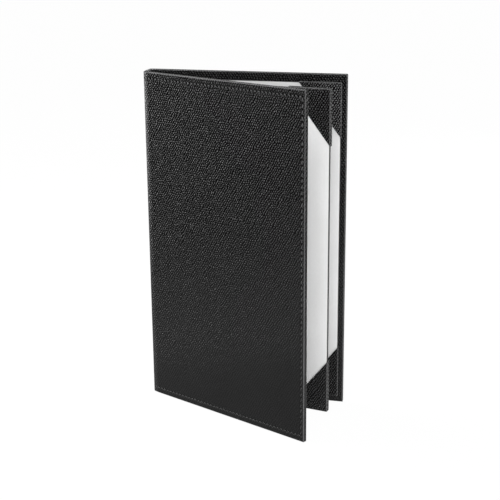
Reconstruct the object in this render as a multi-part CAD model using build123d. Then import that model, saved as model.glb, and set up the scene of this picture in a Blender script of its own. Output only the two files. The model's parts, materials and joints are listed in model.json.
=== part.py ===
from build123d import *
from math import cos, radians, sin, tan
import os

# Menu cover for a tall menu card: two leather covered boards, a spine and one leaf.
# Millimetres, +Z up. The cover stands on its lower edge, a little open.
# The origin is the middle of the back cover's lower edge: half way along it and through its thickness.
# The back cover runs along X with its inside towards -Y and its hinge edge towards -X.
# The spine runs from that edge towards -Y, and the front cover starts at the spine's other side.
# The pieces are drawn with the hinge edge at x = 0 and the inside face on y = 0, and moved when saved.

# Menu card
card_width = 207.0
card_height = 355.6
card_thickness = 0.45

# Covers
cover_board = 3.4
leather = 1.0
turn_in = 18.0
edge_round = 1.2

# Raised panel inside each cover
panel_board = 1.5
lining = 0.5
side_margin = 5.2
hinge_margin = 3.3
end_margin = 8.2

# Leaf
leaf_board = 2.2
leaf_reach = 2.1
leaf_grip = 4.0

# Corner pockets
pocket_leather = 1.0
pocket_across = 47.0
pocket_up = 60.0

# Spine and hinges
corner_radius = 3.2
spine_board = 2.2
hinge_land = 0.4
hinge_strip = 0.6
hinge_strip_bend = 1.2
hinge_strip_leg = 2.4
tab_foot_width = 6.0
tab_foot = 0.8
tab_neck = 0.8

# Clearances
card_play = 0.5
card_slack = 0.15
leaf_gap = 0.5
board_gap = 0.6
strip_gap = 0.2

# Seams: a shallow groove with one thread dash for each stitch
seam_from_end = 6.9
seam_from_side = 3.8
seam_width = 1.0
seam_depth = 0.4
thread_width = 0.7
thread_depth = 0.35
stitch_across = 4.75
stitch_up = 6.2
stitch_share = 0.72

# How far the cover stands open
front_degrees = 25.2
leaf_degrees = 10.6

# Stack through the closed cover
cover_thickness = cover_board + 2 * leather
panel_depth = panel_board + lining
card_space = card_thickness + card_slack
pocket_rise = panel_depth + card_space + pocket_leather
leaf_core = leaf_board + 2 * lining
leaf_thickness = leaf_core + 2 * (card_space + pocket_leather)
inside_gap = 2 * pocket_rise + leaf_thickness + 2 * leaf_gap
middle_y = -inside_gap / 2

# A panel takes its size from the card, and the cover from the panel and its pockets
panel_width = card_width + 2 * card_play
panel_height = card_height + 2 * card_play
panel_left = hinge_margin + pocket_leather
panel_right = panel_left + panel_width
panel_low = end_margin + pocket_leather
panel_high = panel_low + panel_height
cover_width = panel_right + pocket_leather + side_margin
cover_height = panel_high + pocket_leather + end_margin

# Hinge axes stand at the centres of the two rounded corners of the closed cover
hinge_inset = cover_thickness - corner_radius
back_axis = (0.0, hinge_inset)
front_axis = (0.0, -inside_gap - hinge_inset)
spine_outer = -corner_radius
spine_board_outer = spine_outer + leather
spine_board_inner = spine_board_outer + spine_board
spine_face = spine_board_inner + leather
spine_back = -board_gap
spine_front = -inside_gap + board_gap
leaf_axis = (spine_face + tab_foot + tab_neck, middle_y)

# The leaf has the panel's outline and starts clear of the tab's bend
leaf_left = leaf_axis[0] + leaf_reach
leaf_right = leaf_left + panel_width

# From the drawn place to the origin
to_origin = Pos(-cover_width / 2, -cover_thickness / 2, 0)


def block(x_low, x_high, y_low, y_high, z_low, z_high):
    corner = (Align.MIN, Align.MIN, Align.MIN)
    return Pos(x_low, y_low, z_low) * Box(x_high - x_low, y_high - y_low, z_high - z_low, align=corner)


def turned(piece, axis, degrees):
    x, y = axis
    return Pos(x, y, 0) * Rot(0, 0, degrees) * Pos(-x, -y, 0) * piece


def turned_point(point, axis, degrees):
    x = point[0] - axis[0]
    y = point[1] - axis[1]
    c = cos(radians(degrees))
    s = sin(radians(degrees))
    return (axis[0] + x * c - y * s, axis[1] + x * s + y * c)


def front_place(piece):
    """The front cover mirrors the back cover, then swings open about its hinge."""
    closed = Pos(0, -inside_gap, 0) * mirror(piece, about=Plane.XZ)
    return turned(closed, front_axis, -front_degrees)


def leaf_place(piece):
    return turned(piece, leaf_axis, -leaf_degrees)


def upright(points):
    """A plan outline drawn up to the cover's full height."""
    return extrude(Polygon(*points, align=None), amount=cover_height, dir=(0, 0, 1))


# Covers, drawn in the back cover's place: inside face on y = 0, outside face on y = cover_thickness

def cover_skin():
    skin = block(hinge_land, cover_width, 0, cover_thickness, 0, cover_height)
    hinge_face = skin.faces().sort_by(Axis.X)[0]
    rounded = [edge for edge in skin.edges() if edge not in hinge_face.edges()]
    skin = fillet(rounded, edge_round)
    skin -= cover_core()
    skin -= block(hinge_land, cover_width - turn_in, 0, leather, turn_in, cover_height - turn_in)
    return skin - seam_groove()


def cover_core():
    """The space for the board. It is open at the hinge edge."""
    y_high = cover_thickness - leather
    return block(hinge_land, cover_width - leather, leather, y_high, leather, cover_height - leather)


def seam_groove():
    """A groove along the head, the free side and the tail of the outside face."""
    half = seam_width / 2
    y_low = cover_thickness - seam_depth
    x_side = cover_width - seam_from_side
    z_low = seam_from_end
    z_high = cover_height - seam_from_end
    groove = block(x_side - half, x_side + half, y_low, cover_thickness, z_low - half, z_high + half)
    for z in (z_low, z_high):
        groove += block(hinge_land, x_side + half, y_low, cover_thickness, z - half, z + half)
    return groove


def infill():
    """Thin card that levels the board between the turned-in edges of the leather."""
    return block(hinge_land, cover_width - turn_in, 0, leather, turn_in, cover_height - turn_in)


def panel_core():
    x_low = panel_left + lining
    x_high = panel_right - lining
    return block(x_low, x_high, -panel_board, 0, panel_low + lining, panel_high - lining)


def panel_skin():
    return block(panel_left, panel_right, -panel_depth, 0, panel_low, panel_high) - panel_core()


def menu_card(left, y_low):
    x_low = left + card_play
    z_low = panel_low + card_play
    return block(x_low, x_low + card_width, y_low, y_low + card_thickness, z_low, z_low + card_height)


def corner_triangle(left, right, side, end, y_high, depth):
    """A right-angled triangle over one corner, standing out past the panel by the leather."""
    x = (right + pocket_leather) if side == "outer" else (left - pocket_leather)
    z = (panel_high + pocket_leather) if end == "head" else (panel_low - pocket_leather)
    x_leg = x + (-pocket_across if side == "outer" else pocket_across)
    z_leg = z + (-pocket_up if end == "head" else pocket_up)
    face = Plane.XZ * Polygon((x, z), (x_leg, z), (x, z_leg), align=None)
    return Pos(0, y_high, 0) * extrude(face, amount=depth, dir=(0, -1, 0))


def panel_pocket(side, end):
    """Leather over one corner of the panel, turned down round its two edges."""
    pocket = corner_triangle(panel_left, panel_right, side, end, 0, pocket_rise)
    space = panel_depth + card_space
    return pocket - block(panel_left, panel_right, -space, 0, panel_low, panel_high)


def dash(length, across):
    """One thread dash, lying in the groove of the outside face."""
    size = (length, thread_depth, thread_width) if across else (thread_width, thread_depth, length)
    return Box(*size, align=(Align.CENTER, Align.MIN, Align.CENTER))


def row_places(low, high, pitch):
    """Even places for stitches between two ends, nearest to the pitch."""
    count = max(1, round((high - low) / pitch))
    step = (high - low) / count
    return [low + step * (i + 0.5) for i in range(count)]


def cover_thread():
    y = cover_thickness - seam_depth
    x_side = cover_width - seam_from_side
    dashes = []
    for z in (seam_from_end, cover_height - seam_from_end):
        for x in row_places(hinge_land, x_side, stitch_across):
            dashes.append(Pos(x, y, z) * dash(stitch_across * stitch_share, True))
    for z in row_places(seam_from_end, cover_height - seam_from_end, stitch_up):
        dashes.append(Pos(x_side, y, z) * dash(stitch_up * stitch_share, False))
    return Compound(children=dashes)


def cover_pieces(name):
    """All pieces of one cover by node name, in the back cover's place."""
    pieces = {
        name + "_outer_leather": cover_skin(),
        name + "_board": cover_core(),
        name + "_infill": infill(),
        name + "_panel_board": panel_core(),
        name + "_panel_lining": panel_skin(),
        name + "_menu_card": menu_card(panel_left, -panel_depth - card_thickness),
        name + "_seam_thread": cover_thread(),
    }
    for end in ("head", "tail"):
        for side in ("outer", "inner"):
            pieces[f"{name}_pocket_{end}_{side}"] = panel_pocket(side, end)
    return pieces


# Leaf, drawn in its closed place, flat in the middle of the stack

def leaf_core_block(depth):
    x_low = leaf_left
    return block(x_low, leaf_right, middle_y - depth / 2, middle_y + depth / 2, panel_low, panel_high)


def leaf_board_piece():
    x_high = leaf_right - lining
    y_low = middle_y - leaf_board / 2
    z_low = panel_low + lining
    return block(leaf_left + leaf_grip, x_high, y_low, y_low + leaf_board, z_low, panel_high - lining)


def tab_blade_space():
    """The slot between the two linings that holds the edge of the leather tab."""
    y_low = middle_y - leaf_board / 2
    return block(leaf_left, leaf_left + leaf_grip, y_low, y_low + leaf_board, panel_low, panel_high)


def leaf_front_lining():
    """The front lining covers the front of the board and turns round three of its edges."""
    y_low = middle_y - leaf_core / 2
    skin = block(leaf_left, leaf_right, y_low, middle_y + leaf_board / 2, panel_low, panel_high)
    return skin - leaf_board_piece() - tab_blade_space()


def leaf_back_lining():
    y_low = middle_y + leaf_board / 2
    return block(leaf_left, leaf_right, y_low, y_low + lining, panel_low, panel_high)


def leaf_pocket(side, end):
    """Leather folded round one corner of the leaf, open along the slant on both faces."""
    y_high = middle_y + leaf_thickness / 2
    pocket = corner_triangle(leaf_left, leaf_right, side, end, y_high, leaf_thickness)
    pocket -= leaf_core_block(leaf_core + 2 * card_space)
    if side == "inner":
        x_low = leaf_left - pocket_leather
        y_low = middle_y - leaf_core / 2
        pocket -= block(x_low, leaf_left, y_low, y_low + leaf_core, panel_low, panel_high)
    return pocket


def leaf_pieces():
    face = leaf_core / 2
    pieces = {
        "leaf_board": leaf_board_piece(),
        "leaf_front_lining": leaf_front_lining(),
        "leaf_back_lining": leaf_back_lining(),
        "leaf_front_menu_card": menu_card(leaf_left, middle_y - face - card_thickness),
        "leaf_back_menu_card": menu_card(leaf_left, middle_y + face),
    }
    for end in ("head", "tail"):
        for side in ("outer", "inner"):
            pieces[f"leaf_pocket_{end}_{side}"] = leaf_pocket(side, end)
    return pieces


# Spine and the leather that joins it to the covers and the leaf

def spine_board_piece():
    return block(spine_board_outer, spine_board_inner, spine_front, spine_back, leather, cover_height - leather)


def spine_skin():
    """The outer strip of leather, turned in over the board at head and tail."""
    y_low = front_axis[1] + hinge_land
    y_high = back_axis[1] - hinge_land
    skin = block(spine_outer, spine_board_outer, y_low, y_high, 0, cover_height)
    wrap = block(spine_board_outer, spine_face, spine_front, spine_back, 0, cover_height)
    wrap -= block(spine_board_outer, spine_board_inner, spine_front, spine_back, leather, cover_height - leather)
    wrap -= block(spine_board_inner, spine_face, spine_front, spine_back, turn_in, cover_height - turn_in)
    return skin + wrap - spine_seam(seam_width, seam_depth)


def spine_seam(width, depth):
    """Two bars along the head and tail seams of the spine's outside face."""
    y_low = front_axis[1] + hinge_land
    y_high = back_axis[1] - hinge_land
    bars = []
    for z in (seam_from_end, cover_height - seam_from_end):
        bars.append(block(spine_outer, spine_outer + depth, y_low, y_high, z - width / 2, z + width / 2))
    return bars[0] + bars[1]


def spine_thread():
    x = spine_outer + seam_depth - thread_depth
    dashes = []
    for z in (seam_from_end, cover_height - seam_from_end):
        for y in row_places(front_axis[1] + hinge_land, back_axis[1] - hinge_land, stitch_across):
            stitch = Box(
                thread_depth,
                stitch_across * stitch_share,
                thread_width,
                align=(Align.MIN, Align.CENTER, Align.CENTER),
            )
            dashes.append(Pos(x, y, z) * stitch)
    return Compound(children=dashes)


def spine_inner_lining():
    return block(spine_board_inner, spine_face, spine_front, spine_back, turn_in, cover_height - turn_in)


def hinge_leather(axis, start, end):
    """Outer leather round one corner, from the spine to a cover, about the hinge axis."""
    inner_radius = corner_radius - leather
    ring = Pos(axis[0], axis[1], 0) * (
        Cylinder(corner_radius, cover_height, align=(Align.CENTER, Align.CENTER, Align.MIN))
        - Cylinder(inner_radius, cover_height, align=(Align.CENTER, Align.CENTER, Align.MIN))
    )
    reach = 2 * corner_radius
    rim = []
    for angle in (start, (start + end) / 2, end):
        rim.append((axis[0] + reach * cos(radians(angle)), axis[1] + reach * sin(radians(angle))))
    return ring & upright([axis] + rim)


def back_hinge_leather():
    """The back hinge stands closed, a quarter turn of leather with a short flat at each end."""
    x, y = back_axis
    arc = hinge_leather(back_axis, 180, 90)
    arc += block(spine_outer, spine_board_outer, y - hinge_land, y, 0, cover_height)
    return arc + block(x, x + hinge_land, cover_thickness - leather, cover_thickness, 0, cover_height)


def front_hinge_leather():
    """The front hinge stands part open, so its leather turns through less than a quarter."""
    x, y = front_axis
    arc = hinge_leather(front_axis, 180, 270 - front_degrees)
    arc += block(spine_outer, spine_board_outer, y, y + hinge_land, 0, cover_height)
    y_low = y - corner_radius
    cover_flat = block(x, x + hinge_land, y_low, y_low + leather, 0, cover_height)
    return arc + turned(cover_flat, front_axis, -front_degrees)


def hinge_strip_points():
    """Plan outline of the inner strip in the closed back hinge: spine leg, slant and cover wing."""
    bend = hinge_strip_bend
    set_back = hinge_strip * tan(radians(45 / 2))  # the strip turns 45 degrees at each end of the slant
    inner_x = spine_face + hinge_strip
    leg_end = -bend - hinge_strip_leg
    wing_end = panel_left - pocket_leather - strip_gap
    leg = [(spine_face, leg_end), (spine_face, -bend)]
    wing = [(spine_face + bend, 0), (wing_end, 0)]
    wing_back = [(wing_end, -hinge_strip), (spine_face + bend + set_back, -hinge_strip)]
    leg_back = [(inner_x, -bend - set_back), (inner_x, leg_end)]
    return leg, wing, wing_back, leg_back


def back_hinge_lining():
    leg, wing, wing_back, leg_back = hinge_strip_points()
    return upright_between(leg + wing + wing_back + leg_back)


def front_hinge_lining():
    """The same strip mirrored, with its wing swung open with the front cover."""
    leg, wing, wing_back, leg_back = [
        [(x, -inside_gap - y) for x, y in part] for part in hinge_strip_points()
    ]
    wing = [turned_point(point, front_axis, -front_degrees) for point in wing]
    wing_back = [turned_point(point, front_axis, -front_degrees) for point in wing_back]
    return upright_between(leg + wing + wing_back + leg_back)


def upright_between(points):
    """A plan outline drawn up between the turned-in edges at tail and head."""
    face = Pos(0, 0, leather) * Polygon(*points, align=None)
    return extrude(face, amount=cover_height - 2 * leather, dir=(0, 0, 1))


def leaf_tab():
    """A doubled strip of leather: its feet are glued to the spine and its blade grips the leaf."""
    z_low = panel_low
    z_high = panel_high
    half = leaf_board / 2
    foot_half = tab_foot_width / 2
    foot = block(spine_face, spine_face + tab_foot, middle_y - foot_half, middle_y + foot_half, z_low, z_high)
    neck = block(spine_face, leaf_axis[0], middle_y - half, middle_y + half, z_low, z_high)
    bead = Cylinder(half, panel_height, align=(Align.CENTER, Align.CENTER, Align.MIN))
    blade = block(leaf_axis[0], leaf_left + leaf_grip, middle_y - half, middle_y + half, z_low, z_high)
    return foot + neck + Pos(leaf_axis[0], middle_y, z_low) * bead + leaf_place(blade)


def spine_pieces():
    return {
        "spine_board": spine_board_piece(),
        "spine_leather": spine_skin(),
        "spine_lining": spine_inner_lining(),
        "spine_seam_thread": spine_thread(),
        "back_hinge_leather": back_hinge_leather(),
        "front_hinge_leather": front_hinge_leather(),
        "back_hinge_lining": back_hinge_lining(),
        "front_hinge_lining": front_hinge_lining(),
        "leaf_tab": leaf_tab(),
    }


def save(name, piece):
    export_step(to_origin * piece, f"parts/{name}.step")


os.makedirs("parts", exist_ok=True)
for name, piece in cover_pieces("back").items():
    save(name, piece)
for name, piece in cover_pieces("front").items():
    save(name, front_place(piece))
for name, piece in leaf_pieces().items():
    save(name, leaf_place(piece))
for name, piece in spine_pieces().items():
    save(name, piece)
print("closed thickness", round(inside_gap + 2 * cover_thickness, 2))
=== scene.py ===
import json
import math

import bmesh
import bpy
import numpy as np
from mathutils import Matrix, Vector


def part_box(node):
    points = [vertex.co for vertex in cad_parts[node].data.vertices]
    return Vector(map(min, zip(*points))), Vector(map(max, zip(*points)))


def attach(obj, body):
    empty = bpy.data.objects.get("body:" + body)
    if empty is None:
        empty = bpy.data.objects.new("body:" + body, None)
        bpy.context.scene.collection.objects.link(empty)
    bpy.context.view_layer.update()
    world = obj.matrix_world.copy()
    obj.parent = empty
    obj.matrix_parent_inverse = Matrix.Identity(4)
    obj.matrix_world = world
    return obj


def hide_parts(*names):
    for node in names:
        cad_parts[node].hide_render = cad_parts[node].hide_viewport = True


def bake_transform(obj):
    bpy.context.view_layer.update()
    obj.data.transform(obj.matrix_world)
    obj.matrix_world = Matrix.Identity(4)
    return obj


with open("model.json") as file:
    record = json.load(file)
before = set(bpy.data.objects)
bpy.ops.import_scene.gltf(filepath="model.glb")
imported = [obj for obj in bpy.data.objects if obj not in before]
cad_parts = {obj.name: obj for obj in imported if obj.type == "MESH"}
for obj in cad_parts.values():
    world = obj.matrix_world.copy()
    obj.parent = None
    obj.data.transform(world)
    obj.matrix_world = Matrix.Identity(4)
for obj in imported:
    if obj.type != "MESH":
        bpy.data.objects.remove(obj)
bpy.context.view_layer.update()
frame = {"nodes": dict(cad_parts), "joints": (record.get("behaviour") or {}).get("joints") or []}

# A tall menu cover in black pebbled leather, standing part open. Metres throughout.
mm = 0.001
touch = 0.01 * mm  # places closer than this are the same


# Where the four bodies stand

joints = {joint["name"]: joint for joint in frame["joints"]}
backAxis = joints["back_hinge"]["pos_m"]
frontAxis = joints["front_hinge"]["pos_m"]
leafAxis = joints["leaf_hinge"]["pos_m"]
frontDegrees = -joints["front_hinge"]["range_deg"][0]
leafDegrees = -joints["leaf_hinge"]["range_deg"][0]
hingeX = backAxis[0]
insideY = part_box("back_outer_leather")[0].y
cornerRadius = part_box("back_outer_leather")[1].y - backAxis[1]
hingeInset = backAxis[1] - insideY
insideGap = backAxis[1] - frontAxis[1] - 2 * hingeInset


class Place:
    # A body's own axes: u from the hinge edge outwards, d out of its inside face, z up
    def __init__(self, originY, facing, axis, degrees):
        self.originY = originY
        self.facing = facing
        self.axis = axis
        self.angle = math.radians(degrees)

    def turn(self, points, angle):
        c, s = math.cos(angle), math.sin(angle)
        x = points[:, 0] - self.axis[0]
        y = points[:, 1] - self.axis[1]
        return np.column_stack([self.axis[0] + x * c - y * s, self.axis[1] + x * s + y * c, points[:, 2]])

    def out(self, points):
        points = np.asarray(points, float)
        y = self.originY + self.facing * points[:, 1]
        return self.turn(np.column_stack([hingeX + points[:, 0], y, points[:, 2]]), self.angle)

    def own(self, points):
        flat = self.turn(np.asarray(points, float), -self.angle)
        d = (flat[:, 1] - self.originY) * self.facing
        return np.column_stack([flat[:, 0] - hingeX, d, flat[:, 2]])

    def box(self, node):
        points = self.own([v.co for v in frame["nodes"][node].data.vertices])
        return points.min(0), points.max(0)


backPlace = Place(insideY, -1, backAxis, 0)
frontPlace = Place(insideY - insideGap, 1, frontAxis, -frontDegrees)
leafPlace = Place(insideY - insideGap / 2, -1, leafAxis, -leafDegrees)
spinePlace = Place(insideY, 1, backAxis, 0)

coverLow, coverHigh = backPlace.box("back_outer_leather")
boardHigh = backPlace.box("back_board")[1]
infillLow = backPlace.box("back_infill")[0]
threadLow, threadHigh = backPlace.box("back_seam_thread")
leafBoardLow, leafBoardHigh = leafPlace.box("leaf_board")
leafLow, leafHigh = leafPlace.box("leaf_front_lining")
spineLow, spineHigh = spinePlace.box("spine_leather")
spineBoardLow, spineBoardHigh = spinePlace.box("spine_board")

leather = coverHigh[0] - boardHigh[0]
hingeLand = coverLow[0]
coverHeight = coverHigh[2]
turnIn = infillLow[2]
print("measured the packed frame")


# Camera: fitted to the outlines of the three leaves in the photograph

cameraFit = {
    "focalPixels": 1159.46,
    "frameWidth": 500,
    "sensor": 36,
    "place": (0.31062, -1.21275, 0.54948),
    "pitch": -16.699,
    "yaw": -14.329,
    "roll": -0.501,
    "clip": (0.05, 60),
}


def addObject(name, data):
    made = bpy.data.objects.new(name, data)
    bpy.context.scene.collection.objects.link(made)
    return made


def makeCamera(fit):
    data = bpy.data.cameras.new("camera")
    data.sensor_width = fit["sensor"]
    data.lens = fit["focalPixels"] / fit["frameWidth"] * fit["sensor"]
    data.clip_start, data.clip_end = fit["clip"]
    camera = addObject("camera", data)
    pitch, yaw, roll = (math.radians(fit[key]) for key in ("pitch", "yaw", "roll"))
    ahead = np.array([math.sin(yaw) * math.cos(pitch), math.cos(yaw) * math.cos(pitch), math.sin(pitch)])
    right = np.array([math.cos(yaw), -math.sin(yaw), 0])
    up = np.cross(right, ahead)
    rolledRight = right * math.cos(roll) + up * math.sin(roll)
    rolledUp = up * math.cos(roll) - right * math.sin(roll)
    turn = Matrix([rolledRight, rolledUp, -ahead]).transposed().to_4x4()
    camera.matrix_world = Matrix.Translation(fit["place"]) @ turn
    bpy.context.scene.camera = camera


makeCamera(cameraFit)


# Shader maths on node sockets

class Wire:
    def __init__(self, sheet, socket):
        self.sheet = sheet
        self.socket = socket

    def math(self, operation, *others):
        inputs = {i + 1: other for i, other in enumerate(others)}
        return self.sheet.node("ShaderNodeMath", {"operation": operation}, {0: self, **inputs})

    def __add__(self, other):
        return self.math("ADD", other)

    def __radd__(self, other):
        return self.math("ADD", other)

    def __sub__(self, other):
        return self.math("SUBTRACT", other)

    def __rsub__(self, other):
        return self.sheet.node("ShaderNodeMath", {"operation": "SUBTRACT"}, {0: other, 1: self})

    def __mul__(self, other):
        return self.math("MULTIPLY", other)

    def __rmul__(self, other):
        return self.math("MULTIPLY", other)


class Sheet:
    # The node sheet of one material or of the world
    def __init__(self, tree):
        self.tree = tree
        tree.nodes.clear()

    def node(self, kind, settings=None, inputs=None, output=0):
        made = self.tree.nodes.new(kind)
        for name, value in (settings or {}).items():
            setattr(made, name, value)
        for name, value in (inputs or {}).items():
            if isinstance(value, Wire):
                self.tree.links.new(value.socket, made.inputs[name])
            else:
                made.inputs[name].default_value = value
        return Wire(self, made.outputs[output]) if len(made.outputs) else made

    def place(self, attribute):
        return self.node("ShaderNodeAttribute", {"attribute_name": attribute}, output="Vector")

    def mark(self, attribute):
        return self.node("ShaderNodeAttribute", {"attribute_name": attribute}, output="Fac")

    def vector(self, operation, first, second, output=0):
        return self.node("ShaderNodeVectorMath", {"operation": operation}, {0: first, 1: second}, output)

    def scaled(self, vector, amounts):
        return self.vector("MULTIPLY", vector, amounts)

    def shifted(self, vector, other):
        return self.vector("ADD", vector, other)

    def dot(self, vector, other):
        return self.vector("DOT_PRODUCT", vector, other, "Value")

    def height(self, vector):
        return self.dot(vector, (0, 0, 1))

    def noise(self, vector, scale, detail=2.0, output=0):
        inputs = {"Vector": vector, "Scale": scale, "Detail": detail}
        return self.node("ShaderNodeTexNoise", {}, inputs, output)

    def smooth(self, value, low, high, fromZero=0.0, toOne=1.0):
        inputs = {"Value": value, "From Min": low, "From Max": high, "To Min": fromZero, "To Max": toOne}
        return self.node("ShaderNodeMapRange", {"interpolation_type": "SMOOTHSTEP"}, inputs)

    def blendColour(self, factor, first, second):
        return self.node("ShaderNodeMix", {"data_type": "RGBA"}, {0: factor, 6: first, 7: second}, output=2)

    def bump(self, strength, depth, height):
        return self.node("ShaderNodeBump", {}, {"Strength": strength, "Distance": depth, "Height": height})

    def surface(self, colour, rough, specular, bump):
        inputs = {"Base Color": colour, "Roughness": rough, "Specular IOR Level": specular, "Normal": bump}
        return self.node("ShaderNodeBsdfPrincipled", {}, inputs)


def rgb(value):
    return (*value, 1) if isinstance(value, tuple) else (value, value, value, 1)


def startMaterial(name):
    material = bpy.data.materials.new(name)
    material.use_nodes = True
    return material, Sheet(material.node_tree)


# Materials

coverLeatherLook = {
    "across": 3.0 * mm,  # size of a pebble
    "up": 4.7 * mm,
    "swells": (1.3, 0.8, 0.7),
    "wander": 5.0 * mm,  # how far the rows of pebbles stray, and over what distance
    "wanderSize": 8 * mm,
    "fineScale": 2.2,
    "cloudScale": 26.0,
    "pebbleSpan": (-1.3, 1.8),  # swell from the bottom of a fold to the top of a pebble
    "ridgeSpan": (0.30, 0.85),
    "ridgeShares": (0.6, 0.7),  # of pebbles and of fine grain
    "reliefShares": (0.7, 0.5),
    "toneSpan": (0.3, 0.7),
    "toneLeast": 0.75,
    "depth": 1.7 * mm,
    "valley": (0.0015, 0.0015, 0.0015),
    "ridge": (0.0085, 0.0085, 0.0086),
    "behind": (0.034, 0.034, 0.0344),  # ridges past the spine, on the back cover, painted lighter as a painted sheen
    "behindSpan": (-12 * mm, 30 * mm),
    "worn": (0.085, 0.085, 0.086),
    "wornFlat": 0.6,  # how much of the relief and of the dark folds is rubbed away
    "wornOpen": 0.75,
    "ridgeRough": 0.34,
    "valleyRough": 0.6,
    "wornRough": 0.33,
    "specular": 0.16,
    "hollow": 0.001,
    "pit": 1.0,  # painted shade in the folds, and where the grain is flat
    "dulled": 0.3,
    "calmed": 0.8,  # how far a seam flattens the grain
    "foldSpan": (-1.3, 1.4),
    "pressLean": (-0.35, 0, 1),  # the grain gets deeper this way
    "fade": (0.02, 0.27, 0.06),  # heights from flat to full grain, and the least that is left
}
tailFade = {"low": 0.03, "high": 0.27, "holes": 0.3, "thread": 0.15}  # the seam is painted fainter towards the tail: less painted shade in its holes, darker thread
# The pockets: the cover's leather with lighter ridges, a painted sheen
pocketLeatherLook = dict(
    coverLeatherLook,
    across=2.9 * mm,
    up=4.4 * mm,
    ridge=(0.045, 0.045, 0.0455),
    behind=(0.045, 0.045, 0.0455),
    fade=(-0.02, 0.3, 0.4),
)
# The panels' pockets: ridges painted lighter still, with more painted shade where the grain is flat
panelPocketLook = dict(pocketLeatherLook, ridge=(0.1, 0.1, 0.101), behind=(0.1, 0.1, 0.101), dulled=0.85)
liningLook = dict(
    coverLeatherLook,
    across=1.4 * mm,
    up=2.0 * mm,
    wander=0.5 * mm,
    wanderSize=4 * mm,
    depth=0.2 * mm,
    ridgeRough=0.5,
    pit=0.4,
    fade=(-0.2, 0.1, 0.5),
)


def makeLeather(name, look):
    material, sheet = startMaterial(name)
    place = sheet.place("restPlace")
    flat = sheet.place("grainPlace")
    wander = sheet.noise(flat, 1 / look["wanderSize"], output="Color")
    drift = sheet.scaled(sheet.shifted(wander, (-0.5, -0.5, 0)), (look["wander"], look["wander"], 0))
    loose = sheet.shifted(flat, drift)
    # Three crossing swells make staggered pebbles, and the strongest one gives them their lean
    across, up = 2 * math.pi / look["across"], 2 * math.pi / look["up"]
    crossing = [(across, up, 0), (across, -up, 0), (0, 2 * up, 0)]
    swell = 0
    for size, direction in zip(look["swells"], crossing):
        swell = sheet.dot(loose, direction).math("COSINE") * size + swell
    fine = sheet.noise(loose, look["fineScale"] / look["across"])
    cloud = sheet.noise(place, look["cloudScale"], 3.0)
    # The grain is pressed deepest near the head at the spine and flattens towards the tail
    low, high, least = look["fade"]
    pressed = sheet.smooth(sheet.dot(place, look["pressLean"]), low, high, least)
    worn = sheet.mark("edgeWear")
    pressed = pressed * (1 - sheet.mark("seamCalm") * look["calmed"])
    pebble = sheet.smooth(swell, *look["pebbleSpan"])
    pebbles, fines = look["reliefShares"]
    height = (pebble * pebbles + fine * fines) * pressed * (1 - worn * look["wornFlat"])
    pebbles, fines = look["ridgeShares"]
    ridge = sheet.smooth(pebble * pebbles + fine * fines, *look["ridgeSpan"])
    tone = sheet.smooth(cloud, *look["toneSpan"], look["toneLeast"])
    # Painted sheen: the ridges on the back cover are lighter
    behind = sheet.smooth(sheet.dot(flat, (1, 0, 0)), *look["behindSpan"])
    raised = sheet.blendColour(behind, rgb(look["ridge"]), rgb(look["behind"]))
    grained = sheet.blendColour(ridge * tone, rgb(look["valley"]), raised)
    # Edges and the soft hinge corners are lighter: real wear, with painted sheen
    colour = sheet.blendColour(worn * tone, grained, rgb(look["worn"]))
    rough = sheet.smooth(ridge, 0.0, 1.0, look["valleyRough"], look["ridgeRough"])
    rough = rough + worn * (look["wornRough"] - rough)
    bump = sheet.bump(1.0, look["depth"], height)
    skin = sheet.surface(colour, rough, look["specular"], bump)
    # Painted shade: little light gets into the folds between pebbles or where the grain is flat, and none
    # into a stitch hole
    hollow = sheet.node("ShaderNodeBsdfDiffuse", {}, {"Color": rgb(look["hollow"])})
    fold = 1 - sheet.smooth(swell, *look["foldSpan"])
    lost = fold * pressed * look["pit"] + (1 - pressed) * look["dulled"]
    lost = lost * (1 - worn * look["wornOpen"])
    # The holes' painted shade fades towards the tail
    tailPaintedFade = sheet.smooth(sheet.height(place), tailFade["low"], tailFade["high"], tailFade["holes"])
    hole = sheet.mark("seamShade") * tailPaintedFade
    shader = sheet.node("ShaderNodeMixShader", {}, {0: lost.math("MAXIMUM", hole), 1: skin, 2: hollow})
    sheet.node("ShaderNodeOutputMaterial", {}, {"Surface": shader})
    return material


def finishFibre(sheet, look, colour, fibre):
    # The shader of the fibrous materials: thread, card and board
    bump = sheet.bump(look["relief"], look["depth"], fibre)
    shader = sheet.surface(colour, look["rough"], look["specular"], bump)
    sheet.node("ShaderNodeOutputMaterial", {}, {"Surface": shader})


threadLook = {
    "dark": (0.012, 0.012, 0.012),
    "light": (0.09, 0.09, 0.0915),
    "ply": 0.34 * mm,
    "span": (0.35, 0.7),
    "rough": 0.5,
    "specular": 0.4,
    "relief": 0.7,
    "depth": 0.06 * mm,
}


def makeThread(look):
    material, sheet = startMaterial("sewingThread")
    place = sheet.place("restPlace")
    fibre = sheet.noise(place, 1 / look["ply"], 3.0)
    # Painted shade: the thread's lighter plies fade out towards the tail
    tailPaintedFade = sheet.smooth(sheet.height(place), tailFade["low"], tailFade["high"], tailFade["thread"])
    lit = sheet.smooth(fibre, *look["span"]) * tailPaintedFade
    colour = sheet.blendColour(lit, rgb(look["dark"]), rgb(look["light"]))
    finishFibre(sheet, look, colour, fibre)
    return material


cardLook = {
    "light": (0.62, 0.62, 0.62),
    "dark": (0.585, 0.585, 0.585),
    "fibre": 1.4 * mm,
    "cloudScale": 18.0,
    "shares": (0.4, 0.6),  # of fibre and of cloud
    "span": (0.35, 0.65),
    "rough": 0.7,
    "specular": 0.3,
    "relief": 0.4,
    "depth": 0.03 * mm,
}


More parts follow.
